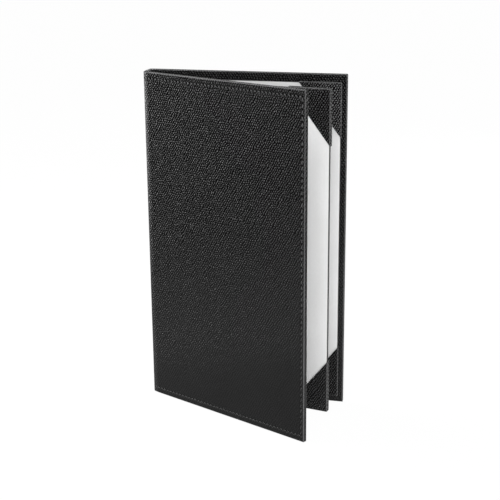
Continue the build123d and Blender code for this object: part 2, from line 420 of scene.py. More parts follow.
def makeCardStock(look):
    material, sheet = startMaterial("cardStock")
    place = sheet.place("restPlace")
    fibre = sheet.noise(sheet.scaled(place, (1.0, 1.0, 0.5)), 1 / look["fibre"], 4.0)
    cloud = sheet.noise(place, look["cloudScale"])
    fibres, clouds = look["shares"]
    mixed = sheet.smooth(fibre * fibres + cloud * clouds, *look["span"])
    colour = sheet.blendColour(mixed, rgb(look["dark"]), rgb(look["light"]))
    finishFibre(sheet, look, colour, fibre)
    return material


boardLook = {
    "light": (0.30, 0.29, 0.26),
    "dark": (0.17, 0.165, 0.15),
    "fibre": 1.8 * mm,
    "span": (0.3, 0.7),
    "rough": 0.85,
    "specular": 0.5,
    "relief": 0.6,
    "depth": 0.1 * mm,
}
infillLook = dict(boardLook, light=(0.02, 0.02, 0.02), dark=(0.008, 0.008, 0.008))


def makeBoard(name, look):
    material, sheet = startMaterial(name)
    place = sheet.node("ShaderNodeTexCoord", output="Object")
    fibre = sheet.noise(sheet.scaled(place, (1.0, 3.0, 1.0)), 1 / look["fibre"], 5.0)
    colour = sheet.blendColour(sheet.smooth(fibre, *look["span"]), rgb(look["dark"]), rgb(look["light"]))
    finishFibre(sheet, look, colour, fibre)
    return material


coverLeather = makeLeather("coverLeather", coverLeatherLook)
pocketLeather = makeLeather("pocketLeather", pocketLeatherLook)
panelPocketLeather = makeLeather("panelPocketLeather", panelPocketLook)
liningLeather = makeLeather("liningLeather", liningLook)
sewingThread = makeThread(threadLook)
cardStock = makeCardStock(cardLook)
greyBoard = makeBoard("greyBoard", boardLook)
blackBoard = makeBoard("blackBoard", infillLook)
print("made the materials")


# Mesh tools

def roundStops(radius, steps=4):
    # Distances from an edge at which a rounded edge turns by even angles
    return [radius * (1 - math.tan(math.radians(45 * i / steps))) for i in range(steps, -1, -1)]


def evenLines(low, high, step):
    count = max(1, round((high - low) / step))
    return [low + (high - low) * i / count for i in range(count + 1)]


def gridLines(low, high, step, radius=0, ends=(True, True), extra=()):
    lines = []
    inner = [low, high]
    if radius and ends[0]:
        lines += [low + stop for stop in roundStops(radius)]
        inner[0] = low + radius
    if radius and ends[1]:
        lines += [high - stop for stop in roundStops(radius)]
        inner[1] = high - radius
    lines += evenLines(inner[0], inner[1], step) + list(extra)
    kept = []
    for line in sorted(lines):
        if not kept or line - kept[-1] > touch:
            kept.append(line)
    return kept


def boxShell(us, ds, zs, keep):
    # Quads on the six sides of a box, facing outwards, where keep says so
    grid = (us, ds, zs)
    index, points, faces = {}, [], []

    def corner(key):
        if key not in index:
            index[key] = len(points)
            points.append([grid[a][key[a]] for a in range(3)])
        return index[key]

    for axis in range(3):
        b, c = (axis + 1) % 3, (axis + 2) % 3
        for high in (False, True):
            for i in range(len(grid[b]) - 1):
                for j in range(len(grid[c]) - 1):
                    middle = [0, 0, 0]
                    middle[axis] = grid[axis][-1 if high else 0]
                    middle[b] = (grid[b][i] + grid[b][i + 1]) / 2
                    middle[c] = (grid[c][j] + grid[c][j + 1]) / 2
                    if not keep(axis, high, middle):
                        continue
                    quad = []
                    for di, dj in ((0, 0), (1, 0), (1, 1), (0, 1)):
                        key = [0, 0, 0]
                        key[axis] = len(grid[axis]) - 1 if high else 0
                        key[b] = i + di
                        key[c] = j + dj
                        quad.append(corner(tuple(key)))
                    faces.append(quad if high else quad[::-1])
    return np.array(points), faces


# How much wear and painted sheen the narrow sides get
sideWearAndSheen = 0.15


class RoundedBox:
    # A box with rounded edges, except at the ends that stay open
    def __init__(self, low, high, radius, lowEnds=(1, 1, 1), highEnds=(1, 1, 1)):
        self.coreLow = np.array(low) + radius * np.array(lowEnds)
        self.coreHigh = np.array(high) - radius * np.array(highEnds)
        self.radius = radius

    def away(self, points):
        away = points - np.clip(points, self.coreLow, self.coreHigh)
        return away, np.maximum(np.linalg.norm(away, axis=1), 1e-9)

    def drawn(self, points):
        away, length = self.away(points)
        rounded = points - away + away * (self.radius / length)[:, None]
        return np.where((length > 1e-8)[:, None], rounded, points)

    def wear(self, points):
        # Edge wear with painted sheen: 0 on the two broad faces, 1 along the edges and a little on the
        # narrow sides
        away, length = self.away(points)
        facing = np.clip(np.abs(away[:, 1]) / length, 0, 1)
        edge = 2 * facing * np.sqrt(1 - facing**2)
        return np.maximum(edge, sideWearAndSheen * (1 - facing)) * (length > 1e-8)


grainSlip = 0.7  # how far the grain shifts up while it folds in, so that no edge repeats it


def plainGrain(points):
    # Where each point lies on a flat skin: the narrow sides fold out from the broad ones
    along = -points[:, 0] - points[:, 1]
    return np.column_stack([along, points[:, 2] + grainSlip * points[:, 1], 0 * points[:, 2]])


def buildMesh(
    name, points, faces, place, material, work=None, thickness=0, lip=0, marks=None, grain=plainGrain
):
    # Stands a body's own points where the body stands, marks them for the grain and thickens the skin
    if work:
        bm = bmesh.new()
        vertices = [bm.verts.new(p) for p in points]
        for face in faces:
            bm.faces.new([vertices[i] for i in face])
        work(bm)
        bm.verts.index_update()
        points = np.array([v.co[:] for v in bm.verts])
        faces = [[v.index for v in face.verts] for face in bm.faces]
        bm.free()
    world = place.out(points)
    if place.facing < 0:
        faces = [list(face)[::-1] for face in faces]
    mesh = bpy.data.meshes.new(name)
    mesh.from_pydata(world.tolist(), [], [list(face) for face in faces])
    piece = addObject(name, mesh)
    mesh.polygons.foreach_set("use_smooth", [True] * len(mesh.polygons))
    skinPlace = mesh.attributes.new("grainPlace", "FLOAT_VECTOR", "POINT")
    skinPlace.data.foreach_set("vector", grain(np.array(points)).ravel())
    for mark, values in (marks or {}).items():
        mesh.attributes.new(mark, "FLOAT", "POINT").data.foreach_set("value", values(points))
    if thickness:
        solid = piece.modifiers.new("thickness", "SOLIDIFY")
        solid.thickness = thickness
        solid.offset = -1
        solid.use_rim = True
    if lip:
        bevel = piece.modifiers.new("lip", "BEVEL")
        bevel.width = lip
        bevel.segments = 2
        bevel.limit_method = "ANGLE"
        bevel.angle_limit = math.radians(50)
    if thickness or lip:
        applyModifiers(piece)
    keepRestPlace(piece)
    piece.data.materials.append(material)
    return piece


def applyModifiers(piece):
    graph = bpy.context.evaluated_depsgraph_get()
    done = bpy.data.meshes.new_from_object(piece.evaluated_get(graph))
    piece.modifiers.clear()
    piece.data = done
    done.name = piece.name


def keepRestPlace(piece):
    mesh = piece.data
    co = np.zeros(len(mesh.vertices) * 3, np.float32)
    mesh.vertices.foreach_get("co", co)
    attribute = mesh.attributes.new("restPlace", "FLOAT_VECTOR", "POINT")
    attribute.data.foreach_set("vector", co)


def refineNear(bm, distance, reaches):
    # Splits the faces near a line again and again, each time in a narrower band
    for reach in reaches:
        near = [face for face in bm.faces if distance(face.calc_center_median()) < reach]
        edges = {edge for face in near for edge in face.edges}
        bmesh.ops.subdivide_edges(bm, edges=list(edges), cuts=1, use_grid_fill=True)


# Seams: stitch holes in a pressed channel, with slanted thread between them

seamLook = {
    "threadWidth": 0.7 * mm,
    "pitchAcross": 4.75 * mm,
    "pitchUp": 6.2 * mm,
    "channelHalf": 2.0 * mm,
    "channelDepth": 0.3 * mm,
    "holeRadius": 1.3 * mm,
    "holeDepth": 0.7 * mm,
    "threadRadius": 0.40 * mm,
    "slant": 0.62 * mm,
    "sit": 0.26 * mm,
    "dip": 0.75 * mm,
    "gap": 1.6 * mm,
    "dive": 3.2,  # how late a stitch turns down into its holes
    "lobe": 0.13,  # the thread's three plies, their twist, and how it thins towards its ends
    "twist": 2.2,
    "thinning": 0.25,
    "holeShade": 1.8,
    "refineReaches": (5 * mm, 3.2 * mm, 2.4 * mm, 1.7 * mm),
    "nearRow": 2.2 * mm,
    "nearStep": 0.32 * mm,
}
sideU = threadHigh[0] - seamLook["threadWidth"] / 2
rowZs = (threadLow[2] + seamLook["threadWidth"] / 2, threadHigh[2] - seamLook["threadWidth"] / 2)


class Row:
    # One straight row of stitches between two points of a flat surface
    def __init__(self, start, end, pitch):
        self.start = np.array(start, float)
        run = np.array(end, float) - self.start
        self.length = float(np.linalg.norm(run))
        self.along = run / self.length
        self.across = np.array([self.along[1], -self.along[0]])
        self.count = max(1, round(self.length / pitch))
        self.step = self.length / self.count

    def shapes(self, flat):
        # How far each flat point is into the channel and into a hole, from 0 to 1
        t = (flat - self.start) @ self.along
        s = np.abs((flat - self.start) @ self.across)
        inside = np.clip(t, 0, self.length)
        off = np.minimum(np.hypot(s, t - inside) / seamLook["channelHalf"], 1)
        hole = np.hypot(s, t - np.round(inside / self.step) * self.step) / seamLook["holeRadius"]
        return 0.5 + 0.5 * np.cos(np.pi * off), np.clip(1 - hole**2, 0, 1)

    def sink(self, flat):
        # How deep the leather is pressed in
        channel, hole = self.shapes(flat)
        return channel * seamLook["channelDepth"] + hole**2 * seamLook["holeDepth"]

    def shade(self, flat):
        # How much of the light is lost in the holes, as painted shade
        return np.clip(self.shapes(flat)[1] * seamLook["holeShade"], 0, 1)

    def calm(self, flat):
        # How far the stitching has pulled the grain flat
        return self.shapes(flat)[0] ** 0.5

    def distance(self, u, z):
        flat = np.array([u, z]) - self.start
        t = min(max(float(flat @ self.along), 0), self.length)
        return float(np.linalg.norm(flat - self.along * t))

    def stitches(self):
        for i in range(self.count):
            yield self.start + self.along * self.step * (i + 0.5)


coverRows = [
    Row((hingeLand, rowZs[1]), (sideU, rowZs[1]), seamLook["pitchAcross"]),
    Row((sideU, rowZs[1]), (sideU, rowZs[0]), seamLook["pitchUp"]),
    Row((sideU, rowZs[0]), (hingeLand, rowZs[0]), seamLook["pitchAcross"]),
]


def stitchMesh(row, centre, look, rings=11, sides=9):
    # One thread from hole to hole: it dips into the leather at both ends and leans across the row
    along = np.array([row.along[0], 0, row.along[1]])
    across = np.array([row.across[0], 0, row.across[1]])
    outward = np.array([0, -1.0, 0])
    length = row.step - look["gap"]
    points, faces = [], []
    for i in range(rings):
        t = -1 + 2 * i / (rings - 1)
        lift = -look["sit"] - look["dip"] * abs(t) ** look["dive"]
        middle = centre + along * (t * length / 2) + across * (look["slant"] * t) + outward * lift
        for j in range(sides):
            a = 2 * math.pi * j / sides
            lobe = 1 + look["lobe"] * math.cos(3 * (a - look["twist"] * t))
            radius = look["threadRadius"] * lobe * (1 - look["thinning"] * t * t)
            points.append(middle + across * (radius * math.cos(a)) + outward * (radius * math.sin(a)))
    for i in range(rings - 1):
        for j in range(sides):
            k = (j + 1) % sides
            faces.append([i * sides + j, (i + 1) * sides + j, (i + 1) * sides + k, i * sides + k])
    faces.append(list(range(sides)))
    faces.append([(rings - 1) * sides + j for j in range(sides)][::-1])
    return points, faces


def joinParts(parts):
    points, faces = [], []
    for partPoints, partFaces in parts:
        base = len(points)
        points.extend(list(point) for point in partPoints)
        faces.extend([i + base for i in face] for face in partFaces)
    return np.array(points), faces


# The two bends of the leather, from the spine to each cover

spineEnds = (-insideGap - hingeInset + hingeLand, hingeInset - hingeLand)
spineHalf = (spineEnds[1] - spineEnds[0]) / 2
middleD = (spineEnds[1] + spineEnds[0]) / 2
bendLook = {
    "soft": 0.95 * mm,
    "reach": 7 * mm,
    "hem": 2.25 * mm,
    "overBoard": 0.08 * mm,  # leather left over a board where it is pressed in most
    "wear": 0.8,
    "wearSpread": 1.5,
    "wearFrom": 0.08,  # the wear and its painted sheen grow over this height, from the least of it
    "wearRise": 0.27,
    "wearLeast": 0.15,
}


def rubbedAndSheen(eased, z):
    # How worn a soft corner is, with painted sheen, most near the head
    spread = np.minimum(bendLook["wearSpread"] * eased / bendLook["soft"], 1)
    risen = np.clip((z - bendLook["wearFrom"]) / bendLook["wearRise"], bendLook["wearLeast"], 1)
    return bendLook["wear"] * spread * risen


class Bend:
    # The plan line of the leather round one corner: a flat, an arc about the hinge axis, and a flat
    def __init__(self, axisD, turning, degrees):
        self.centre = np.array([0, axisD])
        self.turning = turning
        self.arc = cornerRadius * math.radians(degrees)
        self.length = self.arc + 2 * hingeLand
        self.rows = [Row((0, z), (self.length, z), self.length) for z in rowZs]

    def eased(self, away, inward=0):
        # How much the corner is softened, at a distance from the end of its arc and a depth in the leather
        share = np.clip((away + self.arc / 2) / (bendLook["reach"] + self.arc / 2), 0, 1)
        softness = bendLook["soft"] * (0.5 + 0.5 * np.cos(np.pi * share))
        return softness * np.clip(1 - inward / bendLook["hem"], 0, 1)

    def past(self, s):
        # Distance from the end of the arc, below 0 on the arc
        return abs(s - self.length / 2) - self.arc / 2

    def point(self, s, inward, z):
        inward = inward + float(self.eased(self.past(s), max(inward, 0)))
        turned = min(max(s - hingeLand, 0), self.arc) / cornerRadius
        straight = s - hingeLand - turned * cornerRadius
        angle = math.pi + self.turning * turned
        outward = np.array([math.cos(angle), math.sin(angle)])
        onwards = self.turning * np.array([-math.sin(angle), math.cos(angle)])
        flat = self.centre + outward * (cornerRadius - inward) + onwards * straight
        return [flat[0], flat[1], z]

    def blendEnds(self):
        ends = [self.point(hingeLand, 0, 0), self.point(hingeLand + self.arc, 0, 0)]
        return [tuple(place) for place in spinePlace.out(ends)]


bends = {
    "back": Bend(hingeInset, -1, 90),
    "front": Bend(-insideGap - hingeInset, 1, 90 - frontDegrees),
}


# Covers

farAway = 1  # metres
coverLook = {
    "edgeRound": 1.2 * mm,
    "fieldStep": 5.2 * mm,
    "borderStep": 4.0 * mm,
    "bendStep": 0.5 * mm,
    "nearFace": 0.1 * mm,
    "markDepth": 1.4 * mm,  # the seam's marks reach this deep below the outer face
    "mitreDepth": 0.3 * mm,
    "mitreHalf": 0.9 * mm,
}


def makeCoverSkin(name, place, node, side, bend):
    low, high, radius = coverLow, coverHigh, coverLook["edgeRound"]
    step = coverLook["fieldStep"]
    nearHinge = evenLines(low[0], low[0] + bendLook["reach"], coverLook["bendStep"])
    us = gridLines(low[0], high[0], step, radius, (False, True), nearHinge + [high[0] - turnIn])
    ds = gridLines(low[1], high[1], coverLook["borderStep"], radius)
    zs = gridLines(low[2], high[2], step, radius, (True, True), [turnIn, high[2] - turnIn])

    def keep(axis, isHigh, middle):
        if axis == 0:
            return isHigh
        if axis == 1 and isHigh:
            return middle[0] > high[0] - turnIn or not turnIn < middle[2] < high[2] - turnIn
        return True

    points, faces = boxShell(us, ds, zs, keep)
    box = RoundedBox(low, high, radius, (0, 1, 1))

    def distance(centre):
        if centre.y > high[1] - coverLook["nearFace"]:
            return float(mitreDistance(centre.x, centre.z))
        if centre.y > low[1] + coverLook["nearFace"]:
            return farAway
        return min(row.distance(centre.x, centre.z) for row in coverRows)

    def mitreDistance(u, z):
        fromEnd = np.minimum(z, high[2] - z)
        fromSide = high[0] - u
        return np.where(fromSide < turnIn, np.abs(fromEnd - fromSide) / math.sqrt(2), farAway)

    def work(bm):
        refineNear(bm, distance, seamLook["refineReaches"])
        co = np.array([v.co[:] for v in bm.verts])
        outside = co[:, 1] < low[1] + touch
        inside = co[:, 1] > high[1] - touch
        drawn = box.drawn(co)
        off = mitreDistance(co[:, 0], co[:, 2]) / coverLook["mitreHalf"]
        mitre = coverLook["mitreDepth"] * np.exp(-off**2)
        pressed = outside * np.max([row.sink(co[:, [0, 2]]) for row in coverRows], axis=0)
        pressed += bend.eased(co[:, 0], co[:, 1] - low[1])
        # The board's face stays covered
        drawn[:, 1] += np.minimum(pressed, leather - bendLook["overBoard"]) - inside * mitre
        for vertex, point in zip(bm.verts, drawn):
            vertex.co = point

    def onSeams(kind):
        def mark(points):
            outside = points[:, 1] < low[1] + coverLook["markDepth"]
            return outside * np.max([getattr(row, kind)(points[:, [0, 2]]) for row in coverRows], axis=0)

        return mark

    def grain(points):
        # The covers are two ends of one strip, which runs on round the spine
        inward = points[:, 1] - low[1]
        reach = spineHalf + bend.length + points[:, 0] - hingeLand + inward
        return np.column_stack([side * reach, points[:, 2] + grainSlip * inward, 0 * inward])

    # Wear and painted sheen on the edges and on the soft hinge corner
    def wear(points):
        softened = bend.eased(points[:, 0], points[:, 1] - low[1])
        return np.maximum(box.wear(points), rubbedAndSheen(softened, points[:, 2]))

    marks = {"seamShade": onSeams("shade"), "seamCalm": onSeams("calm"), "edgeWear": wear}
    piece = buildMesh(name, points, faces, place, coverLeather, work, leather, 0, marks, grain)
    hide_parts(node)
    return piece


def makeCoverThread(name, place, node, bend):
    parts = []
    for row in coverRows:
        for u, z in row.stitches():
            centre = np.array([u, coverLow[1] + float(bend.eased(u)), z])
            parts.append(stitchMesh(row, centre, seamLook))
    points, faces = joinParts(parts)
    piece = buildMesh(name, points, faces, place, sewingThread)
    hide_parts(node)
    return piece


backSkin = makeCoverSkin("backCoverLeather", backPlace, "back_outer_leather", 1, bends["back"])
frontSkin = makeCoverSkin("frontCoverLeather", frontPlace, "front_outer_leather", -1, bends["front"])
backThread = makeCoverThread("backCoverThread", backPlace, "back_seam_thread", bends["back"])
frontThread = makeCoverThread("frontCoverThread", frontPlace, "front_seam_thread", bends["front"])
for piece, body in (
    (backSkin, "back_cover"),
    (frontSkin, "front_cover"),
    (backThread, "back_cover"),
    (frontThread, "front_cover"),
):
    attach(piece, body)
print("made the covers")


# Spine and hinges: one strip of leather from cover to cover, folded in over its head and tail

foldLook = {"innerRound": 1.0 * mm, "skin": 0.9 * mm, "step": 0.32 * mm, "easing": 0.5 * mm}


def wallLines():
    # Heights on the outer wall: the covers' own, and closer ones at the seams
    radius = coverLook["edgeRound"]
    extra = [turnIn, coverHeight - turnIn]
    for row in rowZs:
        extra += evenLines(row - seamLook["nearRow"], row + seamLook["nearRow"], seamLook["nearStep"])
    return gridLines(radius, coverHeight - radius, coverLook["fieldStep"], extra=extra)


def foldSection(depth, walls, steps=8):
    # Points of (inward, height) from inside the tail, round it, up the wall and in over the head
    outer, inner = coverLook["edgeRound"], foldLook["innerRound"]
    turns = [math.radians(90 * i / steps) for i in range(steps + 1)]
    rim = [(outer - outer * math.cos(a), outer - outer * math.sin(a)) for a in turns]
    back = [(depth - inner + inner * math.sin(a), inner - inner * math.cos(a)) for a in turns]
    end = rim + back + [(depth, turnIn / 2), (depth, turnIn)]
    tail = end[:0:-1]
    head = [(inward, coverHeight - z) for inward, z in end[1:]]
    return tail + [(0, z) for z in walls] + head


def foldedSkin(name, stations, point, easedAt, depthAt, rows, node, alongOf, flipped, thickness):
    # Leather over the stations of a plan line, pressed in along the seam rows
    walls = wallLines()
    points, faces, shades, calms, wearAndSheenMarks, grains = [], [], [], [], [], []
    for s in stations:
        section = foldSection(depthAt(s), walls)
        for inward, z in section:
            flat = np.array([[s, z]])
            onWall = inward == 0
            # Wear and painted sheen on the folded ends and the soft corners
            wearAndSheenMarks.append(max(min(inward / coverLook["edgeRound"], 1), float(rubbedAndSheen(easedAt(s), z))))
            grains.append([alongOf(s), z + grainSlip * inward, 0])
            shades.append(max(float(row.shade(flat)[0]) for row in rows) if onWall else 0)
            calms.append(max(float(row.calm(flat)[0]) for row in rows) if onWall else 0)
            if onWall:
                spare = leather - bendLook["overBoard"] - easedAt(s)
                inward = min(max(float(row.sink(flat)[0]) for row in rows), max(spare, 0))
            points.append(point(s, inward, z))
    count = len(section)
    for i in range(len(stations) - 1):
        for j in range(count - 1):
            a = i * count + j
            faces.append([a, a + 1, a + count + 1, a + count])
    if flipped:
        faces = [face[::-1] for face in faces]
    marks = {
        "seamShade": lambda points: shades,
        "seamCalm": lambda points: calms,
        "edgeWear": lambda points: wearAndSheenMarks,
    }
    piece = buildMesh(
        name,
        points,
        faces,
        spinePlace,
        coverLeather,
        thickness=thickness,
        marks=marks,
        grain=lambda points: np.array(grains),
    )
    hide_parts(node)
    return piece


def wrappedThread(name, rows, point):
    # The rows' stitches, laid round a plan line
    parts = []
    for row in rows:
        for s, z in row.stitches():
            stitch, faces = stitchMesh(row, np.array([s, 0, z]), seamLook)
            parts.append(([point(*place) for place in stitch], faces))
    points, faces = joinParts(parts)
    return buildMesh(name, points, faces, spinePlace, sewingThread)


wallU = spineLow[0]
spineDepth = spineHigh[0] - spineLow[0]
spineRows = [Row((spineEnds[0], z), (spineEnds[1], z), seamLook["pitchAcross"]) for z in rowZs]


def spineEased(d, inward=0):
    fromBack = bends["back"].eased(hingeInset - d, inward)
    return float(fromBack + bends["front"].eased(d + insideGap + hingeInset, inward))


def spinePoint(d, inward, z):
    return [wallU + inward + spineEased(d, max(inward, 0)), d, z]


def spineSectionDepth(d):
    # Full over the spine's board, a hem's thickness beside it
    past = max(spineBoardLow[1] - d, d - spineBoardHigh[1]) / foldLook["easing"]
    share = min(max(0.5 - past / 2, 0), 1)
    return bendLook["hem"] + (spineDepth - bendLook["hem"]) * share * share * (3 - 2 * share)


spineStations = evenLines(*spineEnds, foldLook["step"])
spineSkin = foldedSkin(
    "spineLeather",
    spineStations,
    spinePoint,
    spineEased,
    spineSectionDepth,
    spineRows,
    "spine_leather",
    lambda s: s - middleD,
    False,
    leather,
)
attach(spineSkin, "spine")
spineThread = wrappedThread("spineThread", spineRows, spinePoint)
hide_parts("spine_seam_thread")
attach(spineThread, "spine")
for side, bend in bends.items():
    stations = evenLines(0, bend.length, foldLook["step"])
    skin = foldedSkin(
        side + "HingeLeather",
        stations,
        bend.point,
        lambda s: float(bend.eased(bend.past(s))),
        lambda s: bendLook["hem"],
        bend.rows,
        side + "_hinge_leather",
        lambda s: -bend.turning * (spineHalf + s),
        bend.turning > 0,
        foldLook["skin"],
    )
    thread = wrappedThread(side + "HingeThread", bend.rows, bend.point)
    start, end = bend.blendEnds()
    for piece in (skin, thread):
        side + "_cover"
        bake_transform(piece)
        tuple(start)
        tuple(end)
print("made the spine and the hinges")


# Thin pieces: boards' linings, menu cards and the spine's inner strip

thinLook = {
    "panelRound": 0.9 * mm,
    "liningRound": 0.45 * mm,
    "leafBackRound": 0.2 * mm,
    "spineRound": 0.3 * mm,
    "cardRound": 0.12 * mm,
    "step": 9 * mm,
    "lining": 0.5 * mm,
}


def makeSheetBox(name, place, node, radius, material, body, thickness=0, openBack=False):
    # A rounded box where its node stands, left open behind where it is glued down
    low, high = place.box(node)
    us = gridLines(low[0], high[0], thinLook["step"], radius)
    ds = gridLines(low[1], high[1], thinLook["step"], radius, (not openBack, True))
    zs = gridLines(low[2], high[2], thinLook["step"], radius)

    def keep(axis, isHigh, middle):
        return not (openBack and axis == 1 and not isHigh)

    points, faces = boxShell(us, ds, zs, keep)
    box = RoundedBox(low, high, radius, (1, 0 if openBack else 1, 1))
    # Wear and painted sheen along the edges
    marks = {"edgeWear": box.wear}
    piece = buildMesh(name, box.drawn(points), faces, place, material, None, thickness, 0, marks)
    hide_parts(node)
    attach(piece, body)


def makeLining(name, place, node, radius, body):
    # A lining wrapped round its board
    makeSheetBox(name, place, node, radius, liningLeather, body, thinLook["lining"], True)


def makeCard(name, place, node, body):
    makeSheetBox(name, place, node, thinLook["cardRound"], cardStock, body)


coverPlaces = {"back": backPlace, "front": frontPlace}
for side, place in coverPlaces.items():
    body = side + "_cover"
    makeLining(side + "PanelLining", place, side + "_panel_lining", thinLook["panelRound"], body)
    makeCard(side + "MenuCard", place, side + "_menu_card", body)
for side in ("front", "back"):
    makeCard(f"leaf{side.title()}MenuCard", leafPlace, f"leaf_{side}_menu_card", "leaf")
makeLining("leafFrontLining", leafPlace, "leaf_front_lining", thinLook["liningRound"], "leaf")
for name, place, node, edge, body in (
    ("leafBackLining", leafPlace, "leaf_back_lining", "leafBackRound", "leaf"),
    ("spineLining", spinePlace, "spine_lining", "spineRound", "spine"),
):
    makeSheetBox(name, place, node, thinLook[edge], liningLeather, body)
print("made the linings and the cards")


# Corner pockets: leather over a corner, open along the slant

pocketLook = {"edgeRound": 1.25 * mm, "step": 4.5 * mm, "lip": 0.2 * mm, "skin": 1.0 * mm}


def makePocket(name, place, node, side, end, body, wraps=False):
    low, high = place.box(node)
    radius = pocketLook["edgeRound"]
    atRight, atHead = side == "outer", end == "head"
    us = gridLines(low[0], high[0], pocketLook["step"], radius, (not atRight, atRight))
    ds = gridLines(low[1], high[1], pocketLook["step"], radius, (wraps, True))
    zs = gridLines(low[2], high[2], pocketLook["step"], radius, (not atHead, atHead))
    tabHalf = (leafHigh[1] - leafLow[1] + thinLook["lining"]) / 2
    if wraps:
        ds = sorted(ds + [-tabHalf, tabHalf])

    def keep(axis, isHigh, middle):
        if axis == 0:
            return isHigh == atRight and (atRight or not wraps or abs(middle[1]) > tabHalf)
        if axis == 2:
            return isHigh == atHead
        return isHigh or wraps

    points, faces = boxShell(us, ds, zs, keep)
    corner = np.array([high[0] if atRight else low[0], 0, high[2] if atHead else low[2]])
    acrossEnd = np.array([low[0] if atRight else high[0], 0, corner[2]])
    upEnd = np.array([corner[0], 0, low[2] if atHead else high[2]])
    slant = upEnd - acrossEnd
    away = np.array([slant[2], 0, -slant[0]])
    if away @ (corner - acrossEnd) > 0:
        away = -away

    box = RoundedBox(low, high, radius, (not atRight, wraps, not atHead), (atRight, True, atHead))

    def work(bm):
        geometry = bm.verts[:] + bm.edges[:] + bm.faces[:]
        bmesh.ops.bisect_plane(bm, geom=geometry, plane_co=acrossEnd, plane_no=away, clear_outer=True)
        co = np.array([v.co[:] for v in bm.verts])
        for vertex, drawn in zip(bm.verts, box.drawn(co)):
            vertex.co = drawn

    # Wear and painted sheen along the edges
    piece = buildMesh(
        name,
        points,
        faces,
        place,
        pocketLeather if wraps else panelPocketLeather,
        work,
        thickness=pocketLook["skin"],
        lip=pocketLook["lip"],
        marks={"edgeWear": box.wear},
    )
    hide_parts(node)
    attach(piece, body)


for end in ("head", "tail"):
    for side in ("outer", "inner"):
        label = f"Pocket{end.title()}{side.title()}"
        for cover, place in coverPlaces.items():
            makePocket(cover + label, place, f"{cover}_pocket_{end}_{side}", side, end, cover + "_cover")
        makePocket("leaf" + label, leafPlace, f"leaf_pocket_{end}_{side}", side, end, "leaf", True)
print("made the corner pockets")


# The inner strips in the hinges, and the leaf's tab

stripLook = {
    "thickness": 0.6 * mm,
    "bend": 1.2 * mm,
    "endRound": 0.25 * mm,
    "nearShare": 0.3,
    "drawIn": 0.6,
    "rise": 12 * mm,
    "edgeRound": 0.2 * mm,
    "bendRound": 0.3 * mm,
    "step": 0.4 * mm,
}
tabLook = {"foot": 0.8 * mm, "fillet": 0.45 * mm, "round": 0.3 * mm, "glued": 0.1 * mm, "step": 0.5 * mm}


def roundOutline(corners, radii, steps=4):
    outline = []
    corners = [np.array(corner, float) for corner in corners]
    for i, (corner, radius) in enumerate(zip(corners, radii)):
        before, after = corners[i - 1], corners[(i + 1) % len(corners)]
        first = corner + (before - corner) * (radius / np.linalg.norm(before - corner))
        last = corner + (after - corner) * (radius / np.linalg.norm(after - corner))
        for k in range(steps + 1):
            t = k / steps
            outline.append((1 - t) ** 2 * first + 2 * t * (1 - t) * corner + t * t * last)
    return outline


def divided(outline, step):
    finer = []
    for i, place in enumerate(outline):
        run = outline[(i + 1) % len(outline)] - place
        count = max(1, math.ceil(np.linalg.norm(run) / step))
        finer += [place + run * k / count for k in range(count)]
    return finer


def makeColumn(name, outline, low, high, node, turn):
    # An upright strip with this plan outline, with its two ends a little rounded
    soft = stripLook["endRound"]
    near = soft * stripLook["nearShare"]
    heights = [low, low + near] + evenLines(low + soft, high - soft, stripLook["rise"]) + [high - near, high]
    shrink = [soft, near] + [0] * (len(heights) - 4) + [near, soft]
    count = len(outline)
    area = sum(a[0] * b[1] - a[1] * b[0] for a, b in zip(outline, outline[1:] + outline[:1]))
    winding = math.copysign(1, area)
    points, faces = [], []
    for z, inset in zip(heights, shrink):
        for i in range(count):
            run = outline[(i + 1) % count] - outline[i - 1]
            inward = winding * np.array([-run[1], run[0]]) / np.linalg.norm(run)
            u, d = turn(outline[i] + inward * inset * stripLook["drawIn"])
            points.append([u, d, z])
    for k in range(len(heights) - 1):
        for i in range(count):
            j = (i + 1) % count
            faces.append([k * count + i, k * count + j, (k + 1) * count + j, (k + 1) * count + i])
    faces.append(list(range(count))[::-1])
    faces.append([(len(heights) - 1) * count + i for i in range(count)])
    if winding < 0:
        faces = [face[::-1] for face in faces]
    piece = buildMesh(name, points, faces, spinePlace, liningLeather)
    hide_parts(node)
    return piece


def turned(flat, axis, degrees):
    angle = math.radians(degrees)
    away = np.array(flat) - axis
    c, s = math.cos(angle), math.sin(angle)
    return np.array([axis[0] + away[0] * c - away[1] * s, axis[1] + away[0] * s + away[1] * c])


def eased(flat, start, end):
    run = np.array(end) - np.array(start)
    t = min(max(float((np.array(flat) - start) @ run) / float(run @ run), 0), 1)
    return t * t * (3 - 2 * t)


stripLow, stripHigh = spinePlace.box("back_hinge_lining")
faceU = stripLow[0]


def makeStrip(side):
    thickness, bend = stripLook["thickness"], stripLook["bend"]
    setBack = thickness * math.tan(math.radians(45 / 2))
    corners = [
        (faceU, stripLow[1]),
        (faceU, -bend),
        (faceU + bend, 0),
        (stripHigh[0], 0),
        (stripHigh[0], -thickness),
        (faceU + bend + setBack, -thickness),
        (faceU + thickness, -bend - setBack),
        (faceU + thickness, stripLow[1]),
    ]
    edge, inBend = stripLook["edgeRound"], stripLook["bendRound"]
    outline = divided(roundOutline(corners, [edge, inBend, inBend] + [edge] * 5), stripLook["step"])
    start, end = (faceU, -bend), (faceU + bend, 0)
    axis = np.array([0, hingeInset])
    degrees = 0
    if side == "front":
        outline = [np.array([u, -insideGap - d]) for u, d in outline]
        start, end = (faceU, -insideGap + bend), (faceU + bend, -insideGap)
        axis = np.array([0, -insideGap - hingeInset])
        degrees = -frontDegrees

    def turn(flat):
        return turned(flat, axis, degrees * eased(flat, start, end))

    name = side + "_hinge_lining"
    strip = makeColumn(side + "HingeLining", outline, stripLow[2], stripHigh[2], name, turn)
    restStart, restEnd = spinePlace.out([[*start, 0], [*turn(end), 0]])
    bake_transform(strip)


